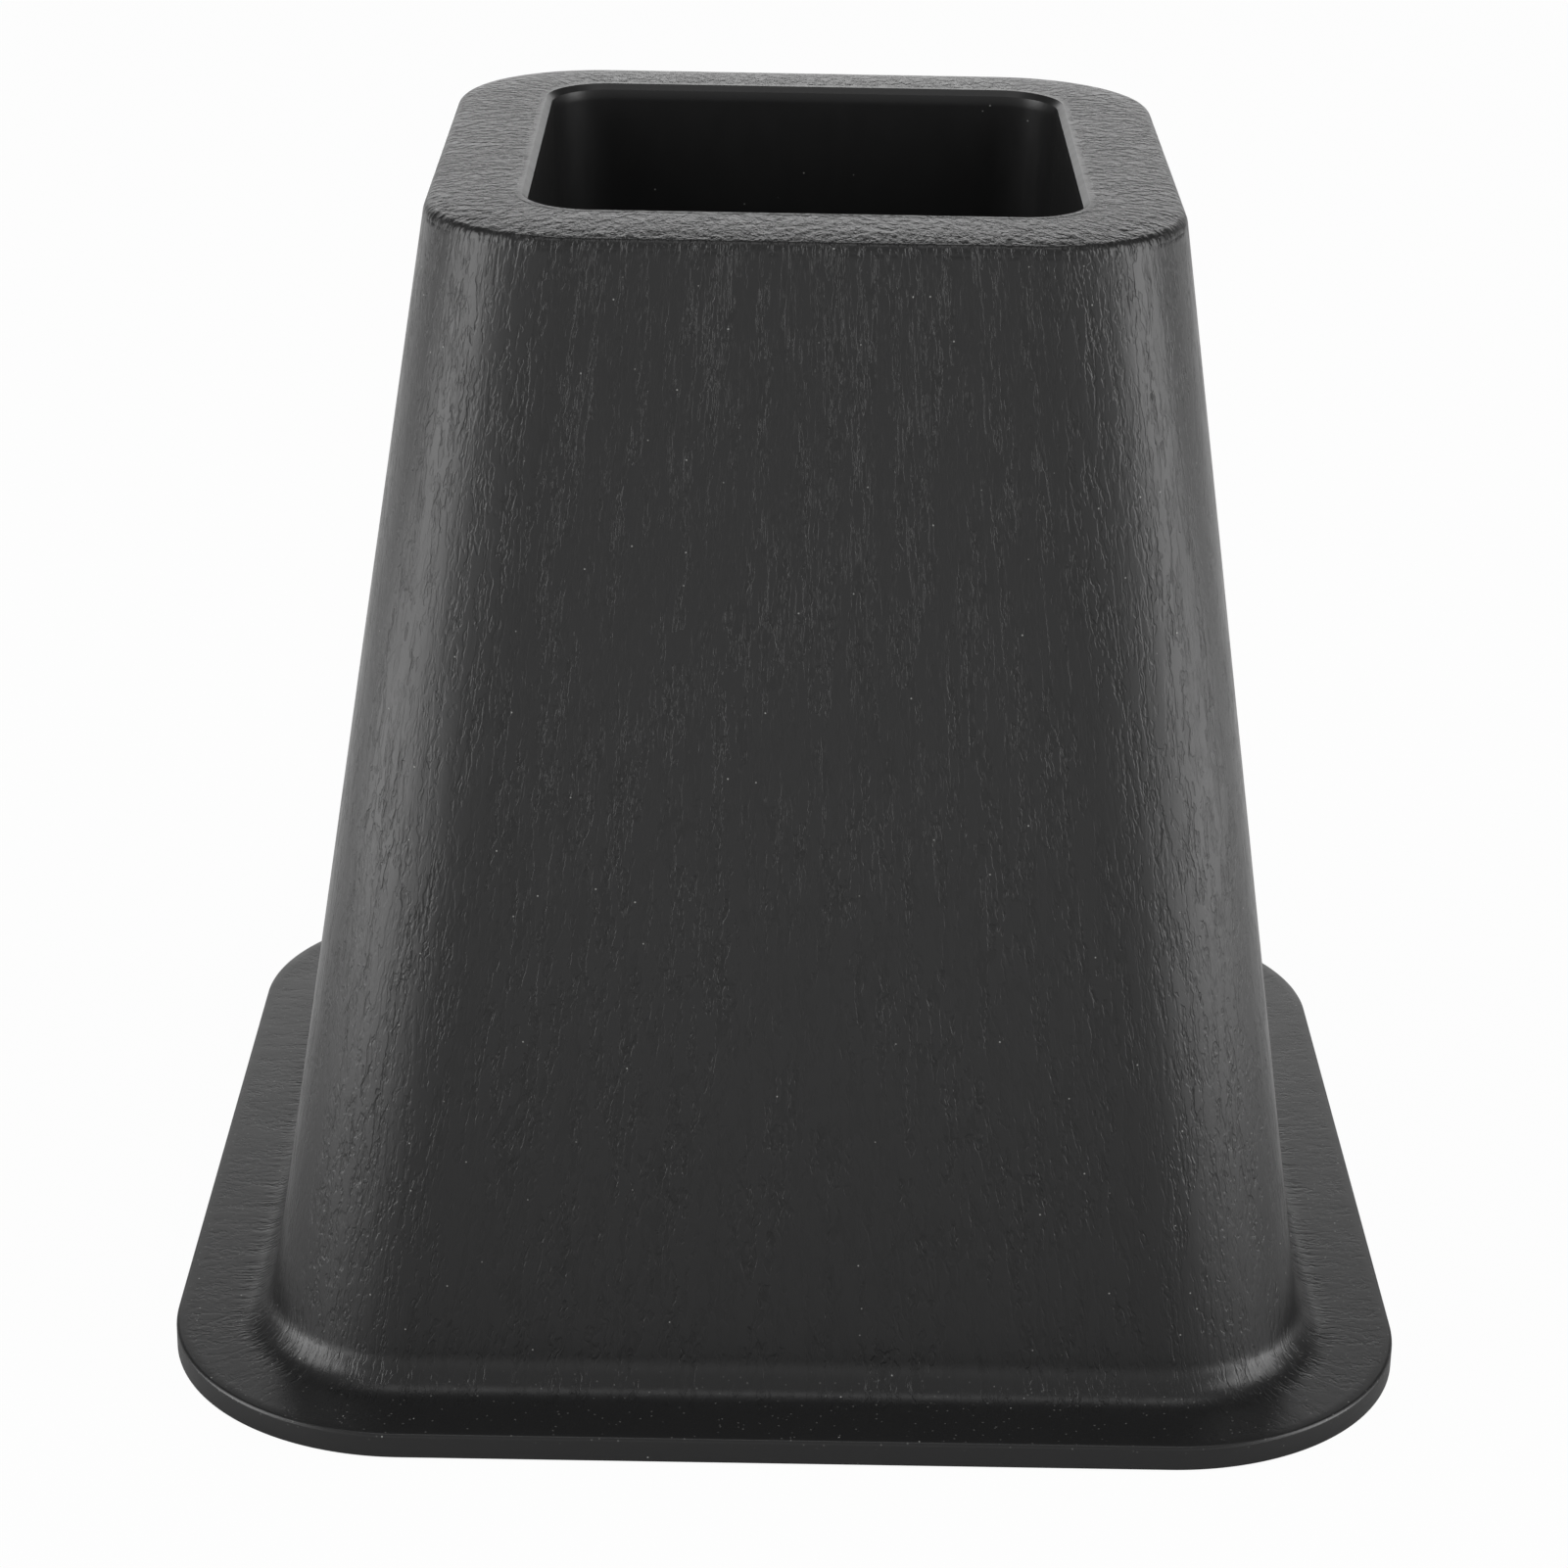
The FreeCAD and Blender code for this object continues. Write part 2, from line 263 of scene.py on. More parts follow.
# %% The surface as a function of column and row
def ring_offsets(half_width, corner_centre, face_offsets):
    """Points of one side of a rounded square, for every row at once.

    Straight stretch: across is the column's offset, out is the half width.
    Corner: a quarter circle of radius half width minus corner centre, about the corner centre.
    """
    radius = (half_width - corner_centre)[:, None]
    arc_across = corner_centre[:, None] + radius * np.sin(corner_angle)
    arc_out = corner_centre[:, None] + radius * np.cos(corner_angle)
    across = np.hstack([face_offsets, arc_across])
    out = np.hstack([np.broadcast_to(half_width[:, None], face_offsets.shape), arc_out])
    return across, out


def all_sides(across, out):
    """The four sides from one: each is the one before, turned a quarter turn about the axis."""
    x = np.hstack([across, out, -across, -out])
    y = np.hstack([-out, across, out, -across])
    return x, y


in_hollow = np.isin(run_name, ["sole round", "inside", "inside fillet", "cup", "cup round"])
fanned = face_share * centre[:, None]
beyond = np.clip((np.abs(face_share) - middle_share) / (1 - middle_share), 0, None)
upright = np.sign(face_share) * (
    np.minimum(np.abs(face_share) / middle_share, 1) * hollow_middle
    + beyond * (centre[:, None] - hollow_middle)
)
under_cup = run_name == "cup underside"
offsets = np.where(in_hollow[:, None], upright, fanned)
offsets[under_cup] = upright[run_name == "cup round"][-1] * (half[under_cup] / under_half)[:, None]

across, out = ring_offsets(half, centre, offsets)
x, y = all_sides(across, out)
z = np.repeat(level[:, None], columns, axis=1)
print(f"surface: {z.size} points in {len(z)} rings")

# %% Ribs: where a column runs through a rib, the hollow stops at the rib's lower edge
face_offset = np.abs(face_share) / middle_share * hollow_middle
rib_core = np.abs(face_offset - rib_gap / 2) < rib_thick / 2 + TINY
one_side = np.concatenate([rib_core, np.zeros(len(corner_angle), bool)])
in_rib = np.tile(one_side, SIDES)
hollow_rows = np.isin(run_name, ["inside", "inside fillet", "cup"])
z = np.where(hollow_rows[:, None] & in_rib, np.minimum(z, rib_edge), z)
print(f"{in_rib.sum()} columns run through ribs")

# %% [markdown]
# ## Wood grain
#
# The mould was etched with a wood grain that runs up the walls, over the crown's edge and across the rim, and
# out over the flange. It could be sculpted, or pressed in with a Displace modifier. Here the broad, soft
# streaks are worked out with the points, because then nothing is left to chance: smoothed random values on a
# lattice whose cells are narrow across the grain and long along it, and which closes on itself round the
# moulding. The relief only goes inwards, so the moulding keeps its size, and it is shallower on the foot's
# fillet and on the flange. The fine cracks are too small for the mesh and are left to the finish. The lip,
# the socket, the flange's edge and the underside are smooth.

# %% Coordinates of the grain
middle_level = riser_height / 2
reference_half = np.array([outer_half(middle_level)])
reference_centre = np.array([corner_centre_outside(middle_level)])
reference = all_sides(*ring_offsets(reference_half, reference_centre, face_share * reference_centre[:, None]))
grain_x, grain_y = reference[0][0], reference[1][0]
loop = np.hypot(np.diff(grain_x, append=grain_x[:1]), np.diff(grain_y, append=grain_y[:1]))
around = np.append(0.0, np.cumsum(loop))[:-1]
perimeter = loop.sum()
print(f"the grain closes on itself after {perimeter:.0f} mm")


def smooth_step(start, end, value):
    """0 before start, 1 after end, and a smooth ramp with flat ends between them."""
    t = np.clip((value - start) / (end - start), 0, 1)
    return t * t * (3 - 2 * t)


def streaks(seed, width, length):
    """Smoothed random values from 0 to 1 on a lattice of cells width by length, closed round the moulding."""
    around_cells = round(perimeter / width)
    along_cells = int((along[-1] - along[0]) / length) + 3
    lattice = np.random.default_rng(seed).random((along_cells, around_cells))
    column = around / perimeter * around_cells
    row = (along - along[0]) / length
    i, j = np.floor(row).astype(int), np.floor(column).astype(int)
    ease_row = smooth_step(0, 1, row - i)[:, None]
    ease_column = smooth_step(0, 1, column - j)
    near, far = j % around_cells, (j + 1) % around_cells
    upper = lattice[i][:, near] * (1 - ease_column) + lattice[i][:, far] * ease_column
    lower = lattice[i + 1][:, near] * (1 - ease_column) + lattice[i + 1][:, far] * ease_column
    return upper * (1 - ease_row) + lower * ease_row


# %% Relief pressed into the outside
STREAK_DEPTH, FLANGE_SHARE, FILLET_SHARE = 0.03, 0.2, 0.7
BROAD_STREAKS, FINE_STREAKS = 0.6, 0.4
SMOOTH_BY_LIP, GRAIN_BY_LIP, GRAIN_BY_EDGE = 0.2, 0.9, 0.6
grained_runs = ["rim", "crown edge", "wall", "foot fillet", "flange"]
grained = np.isin(run_name, grained_runs).astype(float)
grained *= smooth_step(rim_start + SMOOTH_BY_LIP, rim_start + GRAIN_BY_LIP, half)
grained *= smooth_step(0, GRAIN_BY_EDGE, edge_half - half)
grained *= np.where(run_name == "flange", FLANGE_SHARE, 1.0)
grained *= np.where(run_name == "foot fillet", FILLET_SHARE, 1.0)

broad_streaks = streaks(seed=1, width=2.2, length=16.0)
fine_streaks = streaks(seed=2, width=1.3, length=9.0)
relief = BROAD_STREAKS * broad_streaks + FINE_STREAKS * fine_streaks
relief = STREAK_DEPTH * grained[:, None] * relief

points = np.stack([x, y, z], axis=-1)
down = np.gradient(points, axis=0)
round_about = np.roll(points, -1, axis=1) - np.roll(points, 1, axis=1)
normal = np.cross(down, round_about)
SHORTEST = 1e-12
normal /= np.maximum(np.linalg.norm(normal, axis=-1, keepdims=True), SHORTEST)
points = points - normal * relief[..., None]
print(f"relief up to {relief.max():.3f} mm deep")


# %% [markdown]
# ## One closed mesh
#
# The real riser leaves its mould in one piece, so it is one mesh here: rings of points joined by four-sided
# faces, with a fan in the middle of the seat and another under the cup. A loft or a screw could make it from
# curves, but whole arrays of indices are exact and leave no seam. Two values are stored with each point for
# the finish: its place in the unrolled grain, and how deep the fine cracks are there. Across the rim and the
# flange that place runs faster, which makes the cracks shorter. They are deeper on the rim and calmer near
# the foot.


# %% The mesh
def closed_mesh(name, rings, first_pole, last_pole):
    """A mesh of rings of points, closed round each ring, with a fan to a pole at either end."""
    row_count, column_count, _ = rings.shape
    vertices = np.vstack([first_pole, rings.reshape(-1, 3), last_pole]) * MM
    index = 1 + np.arange(row_count * column_count).reshape(row_count, column_count)
    after = np.roll(index, -1, axis=1)
    quads = np.stack([index[:-1], index[1:], after[1:], after[:-1]], axis=-1).reshape(-1, 4)
    last = len(vertices) - 1
    first_fan = np.stack([np.zeros(column_count, int), index[0], after[0]], axis=-1)
    last_fan = np.stack([index[-1], np.full(column_count, last), after[-1]], axis=-1)
    mesh = bpy.data.meshes.new(name)
    mesh.from_pydata(vertices.tolist(), [], quads.tolist() + first_fan.tolist() + last_fan.tolist())
    mesh.update()
    return mesh


first_pole = [0.0, 0.0, seat]
last_pole = [0.0, 0.0, cup_underside]
mesh = closed_mesh("riser_moulding", points, first_pole, last_pole)
mesh.polygons.foreach_set("use_smooth", np.ones(len(mesh.polygons), bool))
SHARP_EDGE = math.radians(34)
mesh.set_sharp_from_angle(angle=SHARP_EDGE)


def point_attribute(name, kind, field, ring_values):
    """Stores one value per vertex, with zeros at the two poles."""
    flat = ring_values.reshape(points.shape[0] * points.shape[1], -1)
    padded = np.vstack([np.zeros_like(flat[:1]), flat, np.zeros_like(flat[:1])])
    attribute = mesh.attributes.new(name, kind, "POINT")
    attribute.data.foreach_set(field, padded.astype(np.float32).ravel())


RIM_SHORTENING, FLANGE_SHORTENING = 3.2, 2.2
flange_start = along[run_name == "flange"][0]
grain_along = np.where(along < 0, along * RIM_SHORTENING, along)
grain_along = grain_along + np.clip(along - flange_start, 0, None) * (FLANGE_SHORTENING - 1)
grain = np.stack(np.broadcast_arrays(grain_x[None, :], grain_y[None, :], grain_along[:, None]), axis=-1)
point_attribute("grain", "FLOAT_VECTOR", "vector", grain)
RIM_DEPTH, CROWN_DEPTH, FOOT_DEPTH = 1.5, 1.3, 0.6
CALM_BELOW = 30.0
grain_strength = np.where(run_name == "rim", RIM_DEPTH, 1.0) * grained
grain_strength *= np.where(run_name == "crown edge", CROWN_DEPTH, 1.0)
near_foot = 1 - smooth_step(flange_thick + foot_fillet, CALM_BELOW, level)
grain_strength *= np.where(run_name == "wall", 1 - (1 - FOOT_DEPTH) * near_foot, 1.0)
point_attribute("grained", "FLOAT", "value", np.broadcast_to(grain_strength[:, None], x.shape))

riser = bpy.data.objects.new("riser_moulding", mesh)
bpy.context.scene.collection.objects.link(riser)
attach(riser, "root")
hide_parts("bed_riser")
print(f"{riser.name}: {len(mesh.vertices)} vertices, {len(mesh.polygons)} faces")

# %% [markdown]
# ## Black plastic
#
# Black polypropylene has a satin skin that shows the lamps as soft bands. The cracks of the wood grain break
# those bands into short dark and bright lines. A picture of the grain could be laid on, but it would bring
# its own light and repeat itself. Here the cracks are contour lines: the places where noise that is stretched
# along the grain passes one level. That gives thin grooves which wander and close on themselves. A broader
# noise decides where they crowd together and where the skin stays calm, and the rim has soft pits as well.
# On the walls the grooves are rougher than the skin and darker: painted shade, a colour that stands in for
# the shadow in the cracks. Specks of dust lie on it, with finer ones on the flange.


# %% Small helpers for building a finish
class NodeTree:
    """The nodes of a material or a world, with one short method for each kind that this lesson needs."""

    def __init__(self, owner):
        owner.use_nodes = True
        self.tree = owner.node_tree

    def named(self, name):
        """A node that is there from the start."""
        return self.tree.nodes[name]

    def add(self, kind, **settings):
        """A node of this kind with some of its settings changed."""
        node = self.tree.nodes.new(kind)
        for name, value in settings.items():
            setattr(node, name, value)
        return node

    def join(self, source, target):
        """Links an output socket to an input socket, or sets the input if the source is a plain value."""
        if isinstance(source, bpy.types.NodeSocket):
            self.tree.links.new(source, target)
        else:
            target.default_value = source

    def attribute(self, name, output):
        """A value stored on the mesh."""
        return self.add("ShaderNodeAttribute", attribute_name=name).outputs[output]

    def math(self, operation, first, second=0.0, clamp=False):
        """Arithmetic on two values."""
        node = self.add("ShaderNodeMath", operation=operation, use_clamp=clamp)
        self.join(first, node.inputs[0])
        self.join(second, node.inputs[1])
        return node.outputs[0]

    def axes(self, vector):
        """The three numbers of a vector, each as a socket."""
        node = self.add("ShaderNodeSeparateXYZ")
        self.join(vector, node.inputs["Vector"])
        return node.outputs

    def stretch(self, vector, sizes, offset=(0.0, 0.0, 0.0)):
        """Coordinates counted in cells of these sizes."""
        node = self.add("ShaderNodeMapping")
        self.join(vector, node.inputs["Vector"])
        node.inputs["Scale"].default_value = [1 / size for size in sizes]
        node.inputs["Location"].default_value = offset
        return node.outputs["Vector"]

    def noise(self, vector, detail=2.0):
        """Smooth random values about one half, one cell per unit."""
        node = self.add("ShaderNodeTexNoise")
        self.join(vector, node.inputs["Vector"])
        node.inputs["Scale"].default_value = 1.0
        node.inputs["Detail"].default_value = detail
        return node.outputs[0]

    def noise_vector(self, vector, reach):
        """Smooth random offsets about zero, one cell per unit."""
        node = self.add("ShaderNodeTexNoise")
        self.join(vector, node.inputs["Vector"])
        node.inputs["Scale"].default_value = 1.0
        node.inputs["Detail"].default_value = 1.0
        centred = self.add("ShaderNodeVectorMath", operation="SUBTRACT")
        self.join(node.outputs["Color"], centred.inputs[0])
        centred.inputs[1].default_value = (0.5, 0.5, 0.5)
        scaled = self.add("ShaderNodeVectorMath", operation="MULTIPLY")
        self.join(centred.outputs[0], scaled.inputs[0])
        scaled.inputs[1].default_value = (reach, reach, reach)
        return scaled.outputs[0]

    def vector_sum(self, first, second):
        """One vector moved by another."""
        node = self.add("ShaderNodeVectorMath", operation="ADD")
        self.join(first, node.inputs[0])
        self.join(second, node.inputs[1])
        return node.outputs[0]

    def ramp(self, value, start, end, low=0.0, high=1.0):
        """A smooth step from low to high while the value goes from start to end."""
        node = self.add("ShaderNodeMapRange", interpolation_type="SMOOTHSTEP")
        self.join(value, node.inputs["Value"])
        for name, number in (("From Min", start), ("From Max", end), ("To Min", low), ("To Max", high)):
            node.inputs[name].default_value = number
        return node.outputs["Result"]

    def blend(self, factor, first, second):
        """A colour between two colours."""
        node = self.add("ShaderNodeMix", data_type="RGBA")
        self.join(factor, node.inputs["Factor"])
        self.join(first, node.inputs["A"])
        self.join(second, node.inputs["B"])
        return node.outputs["Result"]


# %% The grain's fine edges
PORE_DEPTH = 0.076 * MM
SWAY_CELL, SWAY_REACH = (0.9, 0.9, 1.1), 0.50
CROWD_CELL, CROWD_LEVELS, CALM_SHARE = (2.6, 2.6, 17.0), (0.36, 0.62), 0.35
LINE_FLOOR = 0.3
grained_plastic = bpy.data.materials.new("black_grained_plastic")
black = NodeTree(grained_plastic)
grained_here = black.attribute("grained", "Fac")
straight_grain = black.attribute("grain", "Vector")
sway = black.noise_vector(black.stretch(straight_grain, SWAY_CELL), SWAY_REACH)
grain_at = black.vector_sum(straight_grain, sway)
crowding = black.ramp(black.noise(black.stretch(straight_grain, CROWD_CELL)), *CROWD_LEVELS, low=CALM_SHARE)


def cracks(width, length, level, line, offset):
    """Thin wandering grooves: the lines on which stretched noise passes one level.

    The noise's distance from that level, compared with the line's width, gives the depth from 0 to 1.
    """
    pattern = black.noise(black.stretch(grain_at, (width, width, length), offset))
    distance = black.math("ABSOLUTE", black.math("SUBTRACT", pattern, level))
    return black.ramp(distance, LINE_FLOOR * line, line, 1.0, 0.0)


def plateaus(width, length, level, softness, offset):
    """Flat islands with steep edges: stretched noise, cut at a level."""
    pattern = black.noise(black.stretch(grain_at, (width, width, length), offset))
    return black.ramp(pattern, level - softness, level + softness)


long_cracks = cracks(width=1.3, length=9.0, level=0.55, line=0.075, offset=(40.0, 0.0, 7.0))
short_cracks = cracks(width=0.9, length=3.4, level=0.61, line=0.080, offset=(31.0, 7.0, 17.0))
islands = plateaus(width=1.5, length=9.0, level=0.55, softness=0.04, offset=(3.0, 11.0, 5.0))
pits = plateaus(width=1.5, length=5.0, level=0.50, softness=0.14, offset=(5.0, 23.0, 9.0))
print("grain:", len(black.tree.nodes), "nodes so far")

# %% The grain pressed into the skin
CRACK_SHARE, ISLAND_SHARE, SKIN_SHARE, PIT_SHARE = 0.6, 0.10, 0.12, 1.6
SKIN_CELL = (0.32, 0.32, 0.5)
skin = black.noise(black.stretch(straight_grain, SKIN_CELL), detail=1.0)
rim_pits = black.math("MULTIPLY", pits, black.ramp(grained_here, 1.0, RIM_DEPTH))
crack_depth = black.math("MULTIPLY", black.math("ADD", long_cracks, short_cracks), CRACK_SHARE)
crack_depth = black.math("MULTIPLY", crack_depth, crowding)
pressed = crack_depth
for layer, layer_share in ((islands, ISLAND_SHARE), (skin, SKIN_SHARE), (rim_pits, PIT_SHARE)):
    pressed = black.math("ADD", pressed, black.math("MULTIPLY", layer, layer_share))
pressed = black.math("MULTIPLY", grained_here, pressed)

bump = black.add("ShaderNodeBump", invert=True)
bump.inputs["Strength"].default_value = 1.0
bump.inputs["Distance"].default_value = PORE_DEPTH
black.join(pressed, bump.inputs["Height"])
print(f"cracks up to {2 * CRACK_SHARE * RIM_DEPTH * PORE_DEPTH / MM:.2f} mm deep where two cross on the rim")

# %% Dust
DUST_SPACING, FINE_SPACING, FINE_DUST = 3.4, 1.1, 0.24
DUST_RISES, DUST_FADES = np.array((2.0, 3.0)) * MM, np.array((3.6, 7.0)) * MM
place = black.add("ShaderNodeTexCoord").outputs["Object"]


def specks(spacing, core, edge, strength=1.0):
    """Round specks: the distance from points scattered at a spacing in mm, faded out from core to edge."""
    cells = black.add("ShaderNodeTexVoronoi")
    black.join(place, cells.inputs["Vector"])
    cells.inputs["Scale"].default_value = 1 / (spacing * MM)
    return black.ramp(cells.outputs["Distance"], core, edge, strength, 0.0)


height = black.axes(place)["Z"]
above_sole = black.ramp(height, *DUST_RISES)
below_fillet = black.ramp(height, *DUST_FADES, 1.0, 0.0)
on_flange = black.math("MULTIPLY", above_sole, below_fillet)
fine_specks = specks(FINE_SPACING, core=0.06, edge=0.16, strength=FINE_DUST)
fine_dust = black.math("MULTIPLY", fine_specks, on_flange)
dust = black.math("MAXIMUM", specks(DUST_SPACING, core=0.015, edge=0.045), fine_dust)
print(f"dust: points {DUST_SPACING} mm apart, on the flange also {FINE_SPACING} mm apart,"
      " seen where the skin passes one")

# %% The finish
PLASTIC = (0.0115, 0.0115, 0.0117, 1.0)
# The grooves' colour is painted shade: a darker black standing in for the shadow held in the cracks.
GROOVE_SHADE = (0.0045, 0.0045, 0.0045, 1.0)
DUST = (0.30, 0.30, 0.29, 1.0)
GROOVE_SHARE, PLASTIC_IOR = 0.8, 1.49
SKIN_ROUGHNESS, MOTTLE_ROUGHNESS, GROOVE_ROUGHNESS = 0.28, 0.10, 0.10
MOTTLE_CELL = (3.0, 3.0, 14.0)
shader = black.named("Principled BSDF")
off_rim = black.ramp(grained_here, 1.0, RIM_DEPTH, 1.0, 0.0)
on_wall = black.math("MULTIPLY", black.ramp(grained_here, 0.0, 1.0), off_rim)
# Where the cracks crowd on the walls, the colour turns to the painted groove shade and the roughness rises.
groove_shade_and_roughness = black.math("MULTIPLY", black.math("MULTIPLY", crack_depth, on_wall), GROOVE_SHARE, clamp=True)
plastic = black.blend(groove_shade_and_roughness, PLASTIC, GROOVE_SHADE)
black.join(black.blend(dust, plastic, DUST), shader.inputs["Base Color"])
mottle = black.noise(black.stretch(straight_grain, MOTTLE_CELL))
roughness = black.math("ADD", black.math("MULTIPLY", mottle, MOTTLE_ROUGHNESS), SKIN_ROUGHNESS)
roughness = black.math("ADD", roughness, black.math("MULTIPLY", groove_shade_and_roughness, GROOVE_ROUGHNESS))
black.join(roughness, shader.inputs["Roughness"])
black.join(bump.outputs["Normal"], shader.inputs["Normal"])
shader.inputs["IOR"].default_value = PLASTIC_IOR
mesh.materials.append(grained_plastic)
print("finish:", grained_plastic.name, "with", len(black.tree.nodes), "nodes")

# %% [markdown]
# ## Stage and light
#
# The floor is plain and pale. A camera ray sees mostly its own white, and a little of how it is lit, so a
# soft shadow stays under the riser. Mirror rays see that white behind and beside the riser, and part of it
# ahead. A tall soft lamp stands on either side, because the round corners need something to mirror, with a
# low one nearer for the lower corners. A wide lamp behind is what the rim and the flange mirror, and one
# overhead draws the line along the foot's fillet. The room is bright ahead and behind, dim at the sides and
# weaker overhead. A picture of a studio could give all this light at once, but lamps can be set one by one.


# %% White for the eye
def white_share(nodes, mirrored_share, share):
    """How white a stage surface is by itself, to camera rays and, by a share, to mirror and glass rays."""
    path = nodes.add("ShaderNodeLightPath")
    mirrored = nodes.math("MAXIMUM", path.outputs["Is Glossy Ray"], path.outputs["Is Transmission Ray"])
    mirrored = nodes.math("MULTIPLY", mirrored, mirrored_share)
    seen = nodes.math("MAXIMUM", path.outputs["Is Camera Ray"], mirrored)
    return nodes.math("MULTIPLY", seen, share)


def mix_in_white(nodes, lit, share, output):
    """Mixes a lit shader with plain white by a share, and sends it to the output."""
    white = nodes.add("ShaderNodeEmission")
    mix = nodes.add("ShaderNodeMixShader")
    nodes.join(share, mix.inputs["Fac"])
    nodes.join(lit, mix.inputs[1])
    nodes.join(white.outputs["Emission"], mix.inputs[2])
    nodes.join(mix.outputs["Shader"], output.inputs["Surface"])


# %% Floor
FLOOR_HALF, FLOOR_DROP = 5.0, 0.0003
FLOOR_WHITE, FLOOR_AHEAD, FLOOR_FAR = 0.97, 0.72, 0.15
BEHIND, BESIDE, AHEAD, FAR_AHEAD = (-0.05, 0.15), (0.10, 0.30), (-0.50, -0.12), (-2.2, -0.7)
CHALK = (0.57, 0.57, 0.57, 1.0)
floor_mesh = bpy.data.meshes.new("floor")
corners = [(-1, -1), (1, -1), (1, 1), (-1, 1)]
floor_points = [(FLOOR_HALF * i, FLOOR_HALF * j, -FLOOR_DROP) for i, j in corners]
floor_mesh.from_pydata(floor_points, [], [(0, 1, 2, 3)])
floor = bpy.data.objects.new("floor", floor_mesh)
bpy.context.scene.collection.objects.link(floor)

pale_floor = bpy.data.materials.new("pale_floor")
pale = NodeTree(pale_floor)
pale.tree.nodes.remove(pale.named("Principled BSDF"))
chalk = pale.add("ShaderNodeBsdfDiffuse")
chalk.inputs["Color"].default_value = CHALK
floor_x, floor_y, _ = pale.axes(pale.add("ShaderNodeTexCoord").outputs["Object"])
white_behind = pale.ramp(floor_y, *BEHIND)
white_beside = pale.ramp(pale.math("ABSOLUTE", floor_x), *BESIDE)
white_ahead = pale.ramp(floor_y, *AHEAD, FLOOR_AHEAD, 0.0)
white_ahead = pale.math("MULTIPLY", white_ahead, pale.ramp(floor_y, *FAR_AHEAD, FLOOR_FAR, 1.0))
mirrored_white = pale.math("MAXIMUM", pale.math("MAXIMUM", white_behind, white_beside), white_ahead)
floor_share = white_share(pale, mirrored_white, FLOOR_WHITE)
mix_in_white(pale, chalk.outputs["BSDF"], floor_share, pale.named("Material Output"))
floor_mesh.materials.append(pale_floor)
print(f"floor: {2 * FLOOR_HALF:.0f} m square, {len(pale.tree.nodes)} nodes")

# %% Room
ROOM_FRONT, ROOM_SIDES, ROOM_BACK, ROOM_CEILING = 0.68, 0.09, 0.50, 0.60
TO_FRONT, TO_BACK, TO_CEILING, TO_WHITE = (-0.45, 0.10), (0.70, 0.95), (0.15, 0.60), (0.88, 0.95)
WHITE = (1.0, 1.0, 1.0, 1.0)
world = bpy.data.worlds.new("room")
bpy.context.scene.world = world
room = NodeTree(world)
background = room.named("Background")
background.inputs["Color"].default_value = WHITE
_, toward_back, upward = room.axes(room.add("ShaderNodeTexCoord").outputs["Generated"])
front_light = room.ramp(toward_back, *TO_FRONT, ROOM_FRONT, ROOM_SIDES)
back_light = room.ramp(toward_back, *TO_BACK, 0.0, ROOM_BACK - ROOM_SIDES)
ceiling_share = room.ramp(upward, *TO_CEILING, 1.0, ROOM_CEILING)
room_light = room.math("MULTIPLY", room.math("ADD", front_light, back_light), ceiling_share)
room.join(room_light, background.inputs["Strength"])
room_share = white_share(room, room.ramp(toward_back, *TO_WHITE), 1.0)
mix_in_white(room, background.outputs["Background"], room_share, room.named("World Output"))
print("room:", len(room.tree.nodes), "nodes")


# %% Lamps
def soft_lamp(name, place, width, height, watts):
    """A flat soft lamp at a place in metres, turned to face the middle of the riser."""
    lamp = bpy.data.lights.new(name, "AREA")
    lamp.shape = "RECTANGLE"
    lamp.size, lamp.size_y = width, height
    lamp.energy = watts
    holder = bpy.data.objects.new(name, lamp)
    bpy.context.scene.collection.objects.link(holder)
    middle = Vector((0.0, 0.0, riser_height * MM / 2))
    away = (Vector(place) - middle).normalized()
    holder.matrix_world = Matrix.Translation(place) @ away.to_track_quat("Z", "Y").to_matrix().to_4x4()
    holder.visible_camera = False
    print(f"{name}: {watts} W, radiance {watts / (math.pi * width * height):.2f}")


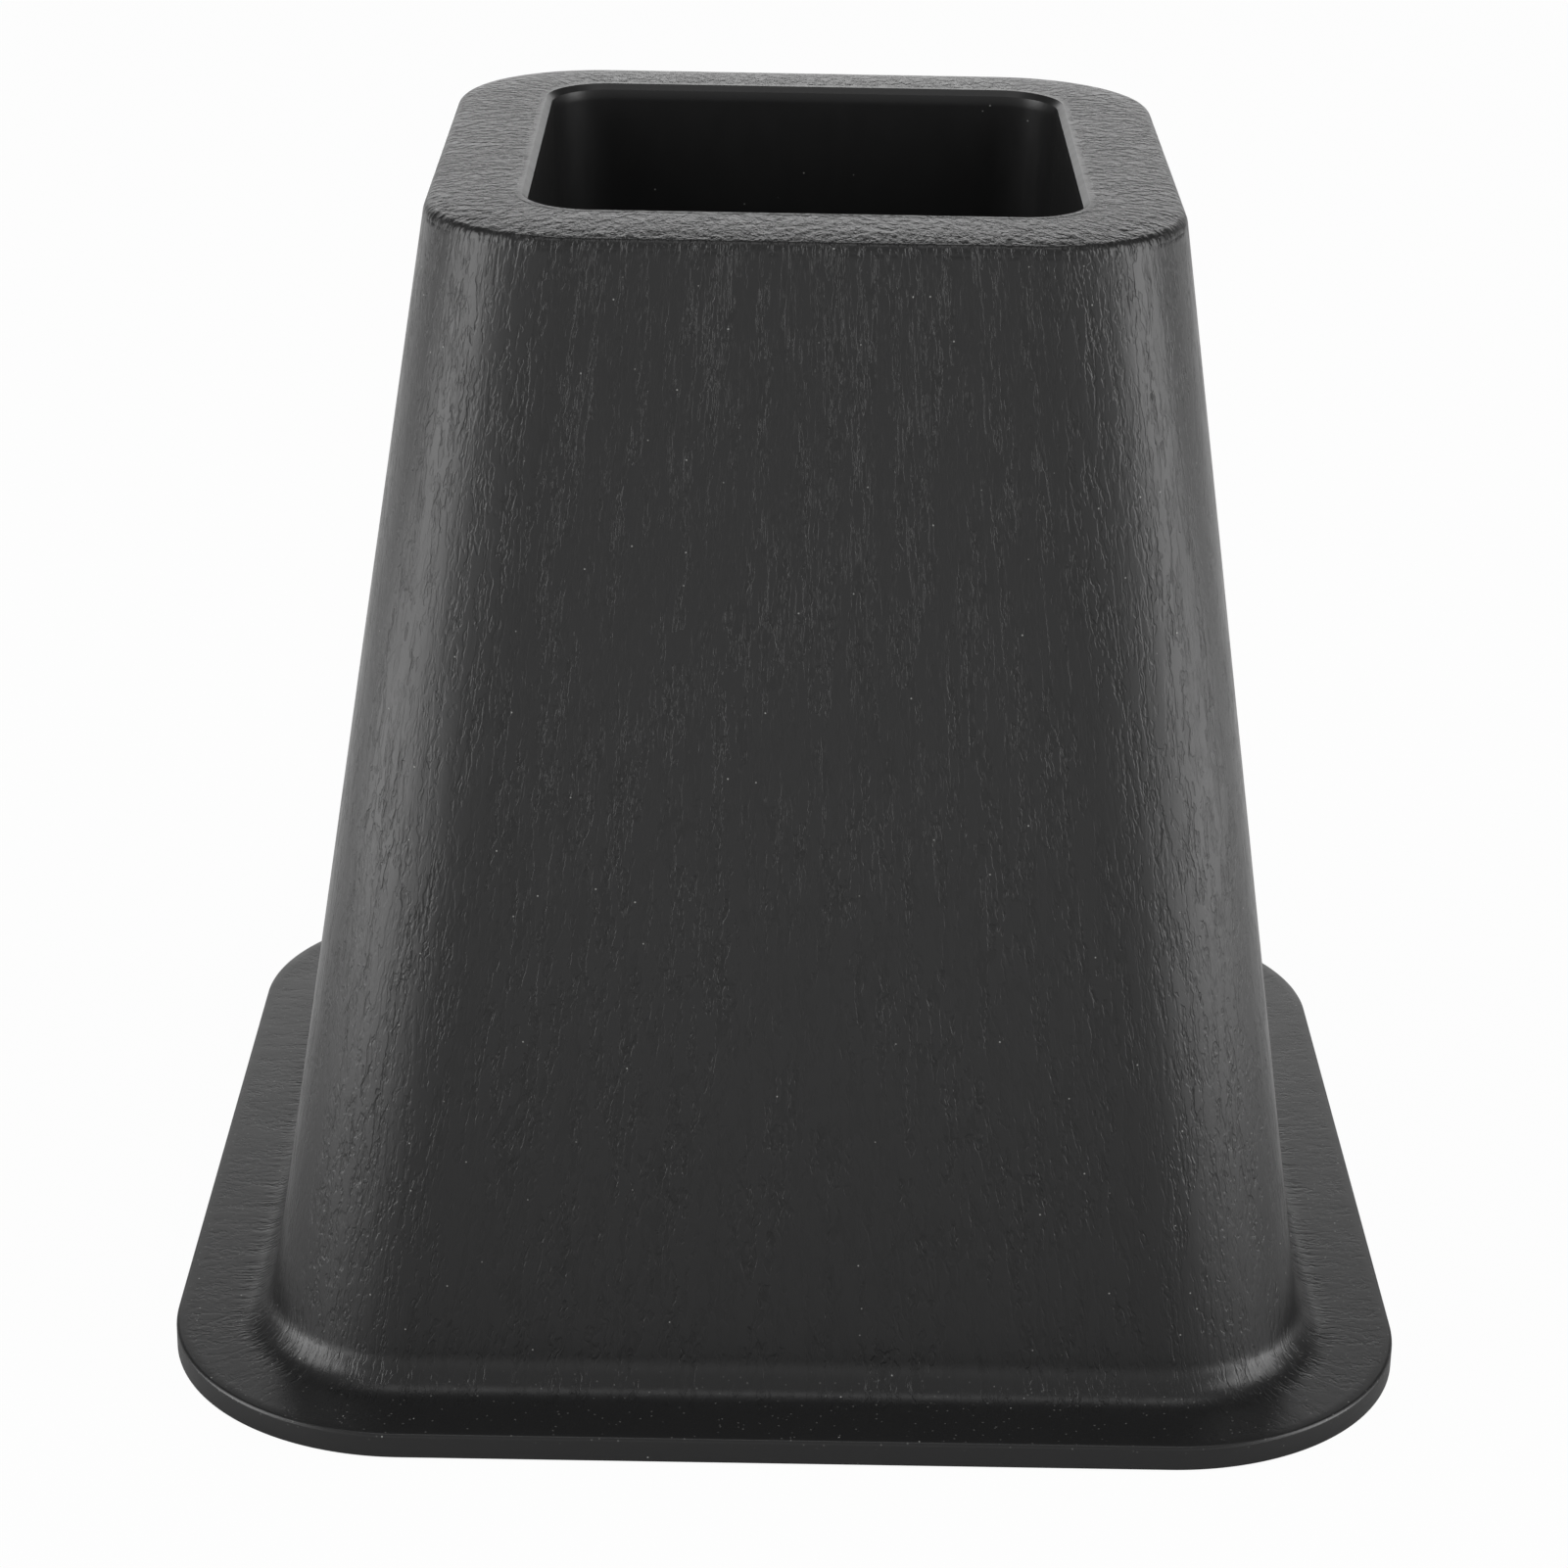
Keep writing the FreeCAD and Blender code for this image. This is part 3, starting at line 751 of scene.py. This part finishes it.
soft_lamp("left_lamp", (-0.92, -0.17, 0.45), 0.62, 0.9, 7.2)
soft_lamp("right_lamp", (0.92, -0.17, 0.45), 0.62, 0.9, 7.2)
soft_lamp("low_left_lamp", (-0.38, -0.12, 0.03), 0.5, 0.05, 0.26)
soft_lamp("low_right_lamp", (0.38, -0.12, 0.03), 0.5, 0.05, 0.24)
soft_lamp("back_lamp", (0.0, 1.05, 0.39), 1.2, 0.30, 0.98)
soft_lamp("top_lamp", (0.0, 0.05, 1.2), 0.8, 0.34, 1.4)

# %% [markdown]
# ## Camera
#
# The camera stands a little over half a metre away and looks down at about 22 degrees, nearly square to the
# front. It could be moved by eye until the edges meet, but a fit weighs all of them at once. So its place was
# found by fitting the riser's own outlines to the ones in the picture.

# %% Camera
CAMERA_AZIMUTH, CAMERA_ELEVATION, CAMERA_ROLL = (math.radians(angle) for angle in (-0.26, 22.41, 1.08))
CAMERA_DISTANCE = 564.2
CAMERA_TARGET = (-1.24, 0.0, 60.42)
CAMERA_LENS, SENSOR_WIDTH = 91.6, 36.0

back = Vector((
    math.sin(CAMERA_AZIMUTH) * math.cos(CAMERA_ELEVATION),
    -math.cos(CAMERA_AZIMUTH) * math.cos(CAMERA_ELEVATION),
    math.sin(CAMERA_ELEVATION),
))
level_right = Vector((math.cos(CAMERA_AZIMUTH), math.sin(CAMERA_AZIMUTH), 0.0))
level_up = back.cross(level_right)
right = math.cos(CAMERA_ROLL) * level_right + math.sin(CAMERA_ROLL) * level_up
up = back.cross(right)
eye = (Vector(CAMERA_TARGET) + back * CAMERA_DISTANCE) * MM

camera_data = bpy.data.cameras.new("photo_camera")
camera_data.lens = CAMERA_LENS
camera_data.sensor_width = SENSOR_WIDTH
camera = bpy.data.objects.new("photo_camera", camera_data)
bpy.context.scene.collection.objects.link(camera)
camera.matrix_world = Matrix.Translation(eye) @ Matrix((right, up, back)).transposed().to_4x4()
bpy.context.scene.camera = camera
bpy.context.scene.view_settings.view_transform = "Standard"
print("camera at", [round(value, 3) for value in eye])
